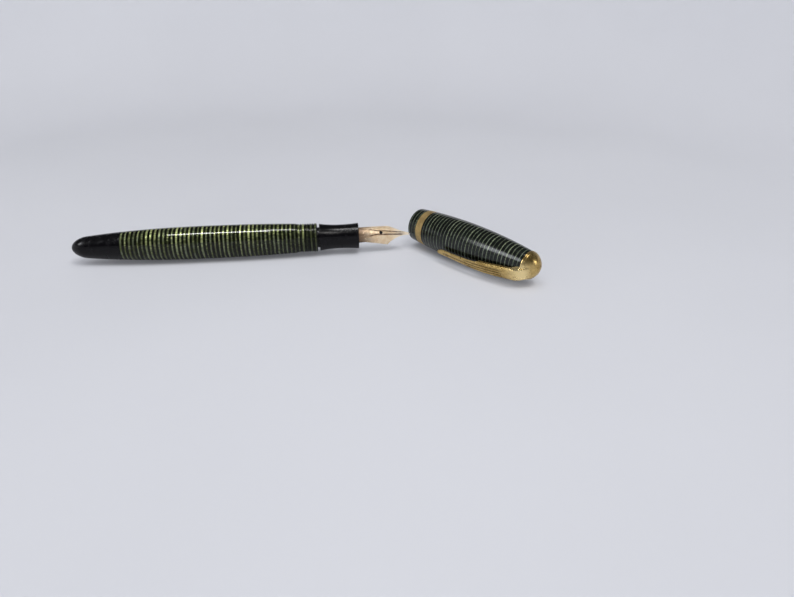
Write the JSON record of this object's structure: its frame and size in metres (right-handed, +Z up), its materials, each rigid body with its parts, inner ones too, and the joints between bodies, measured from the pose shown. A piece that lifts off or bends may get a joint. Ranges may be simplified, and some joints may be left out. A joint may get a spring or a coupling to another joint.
{
  "type": "fountain pen",
  "caption": "Button-filling fountain pen, uncapped, with striped barrel and cap, black section, pressed nib, spring clip and domed cap end",
  "frame": {"origin": "centre of the whole arrangement's box, on the surface that the pen and its cap lie on", "axes": "+X along the pen's axis from its tail towards its nib, +Z up from the surface, +Y away from the side that the cap's dome points to"},
  "size_m": [0.1662, 0.0502, 0.0147],
  "materials": {
    "barrel_stripe": "polished, laminated in thin black and pearly green discs",
    "cap_stripe": "polished, laminated in thin black and grey-green discs",
    "black_rubber": "polished hard rubber",
    "dull_rubber": "turned hard rubber",
    "nib_gold": "pressed gold sheet, polished",
    "tipping": "ground and polished",
    "band_gold": "chased gold-filled band, worn",
    "trim_gold": "gold plate over brass, worn and pitted",
    "sac_rubber": "dull black rubber",
    "button_brass": "turned brass",
    "spring_steel": "sheet steel",
    "screw_steel": "turned steel"
  },
  "bodies": {
    "section_unit": {"section": "black_rubber", "nib": "nib_gold", "nib_tipping": "tipping", "feed": "dull_rubber", "ink_sac": "sac_rubber"},
    "barrel": {"barrel": "barrel_stripe", "button_bush": "dull_rubber"},
    "pressure_bar": {"pressure_bar_strip": "spring_steel", "pressure_bar_shoe": "spring_steel", "pressure_bar_rivets": "button_brass"},
    "button": {"filler_button": "button_brass"},
    "blind_cap": {"blind_cap": "black_rubber"},
    "cap": {"cap_shell": "cap_stripe", "cap_band": "band_gold", "inner_cap": "dull_rubber", "dome": "trim_gold", "clip_root": "trim_gold", "clip_screw": "screw_steel", "clip_washer": "screw_steel"},
    "clip": {"clip": "trim_gold"}
  },
  "joints": [
    {"name": "barrel_pull", "type": "slide", "parent": "section_unit", "child": "barrel", "axis": [-1, 0, 0], "range_m": [-0.0007, 0.06]},
    {"name": "button_press", "type": "slide", "parent": "barrel", "child": "button", "axis": [1, 0, 0], "range_m": [0, 0.0055], "stiffness_N_per_m": 700},
    {"name": "bar_squeeze", "type": "slide", "parent": "barrel", "child": "pressure_bar", "axis": [0, 0, -1], "range_m": [0, 0.0021], "deforming": ["ink_sac", "pressure_bar_strip"]},
    {"name": "blind_cap_pull", "type": "slide", "parent": "barrel", "child": "blind_cap", "axis": [-1, 0, 0], "range_m": [0, 0.022]},
    {"name": "cap_pull", "type": "slide", "parent": "section_unit", "child": "cap", "axis": [0.6032, -0.7976, -0.0084], "range_m": [0, 0.041]},
    {"name": "clip_flex", "type": "hinge", "parent": "cap", "child": "clip", "pos_m": [0.0712, -0.02208, 0.00466], "axis": [-0.268, -0.2126, 0.9397], "range_deg": [0, 5], "stiffness_Nm_per_rad": 1}
  ],
  "couplings": [
    {"joint": "bar_squeeze", "follows": "button_press", "ratio": 0.36364}
  ]
}
